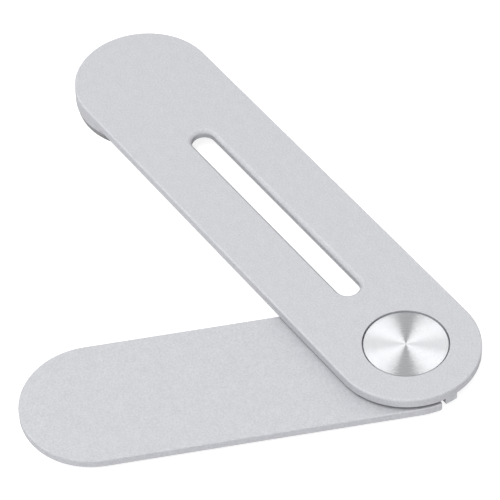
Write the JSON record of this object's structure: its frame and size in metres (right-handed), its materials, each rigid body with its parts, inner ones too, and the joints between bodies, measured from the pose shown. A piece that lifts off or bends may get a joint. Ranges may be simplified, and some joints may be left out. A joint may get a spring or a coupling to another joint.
{
  "type": "side mount phone bracket",
  "caption": "Side-mount phone bracket for a laptop lid: adhesive base plate, slotted swivel arm on a friction pivot, and a magnetic puck under the arm's far end.",
  "frame": {"origin": "centre of the adhesive pad's face, where the bracket sticks to the lid", "axes": "+Z points away from the lid, along the pivot; +X runs along the arm from the pivot to the puck at rest, with the arm 65.5 degrees open from the base plate"},
  "size_m": [0.1484, 0.1041, 0.007],
  "materials": {
    "anodised": "bead-blasted, clear anodised",
    "turned_cap": "face-turned, bright",
    "zinc_steel": "zinc plated",
    "spring_steel": "blued, oiled",
    "nickel": "nickel plated",
    "hard_plastic": "moulded, matt",
    "grey_plastic": "moulded, matt",
    "soft_rubber": "silicone, matt",
    "foam": "acrylic foam tape"
  },
  "bodies": {
    "base": {"base_plate": "anodised", "adhesive_pad": "foam", "thrust_washer": "hard_plastic", "slide_washer": "hard_plastic"},
    "arm": {"arm_plate": "anodised", "pivot_cap": "turned_cap", "pivot_stud": "zinc_steel", "disc_spring_upper": "spring_steel", "disc_spring_lower": "spring_steel", "keyed_washer": "zinc_steel", "pivot_nut": "zinc_steel", "yoke_plate": "zinc_steel", "magnet_carrier": "grey_plastic", "magnet_1": "nickel", "magnet_2": "nickel", "magnet_3": "nickel", "magnet_4": "nickel", "magnet_5": "nickel", "magnet_6": "nickel", "carrier_screw_1": "zinc_steel", "carrier_screw_2": "zinc_steel", "carrier_screw_3": "zinc_steel", "face_pad": "soft_rubber"}
  },
  "joints": [
    {"name": "arm_swivel", "type": "hinge", "parent": "base", "child": "arm", "pos_m": [-0.01613, -0.0354, 0], "axis": [0, 0, 1], "range_deg": [-2, 133]}
  ]
}
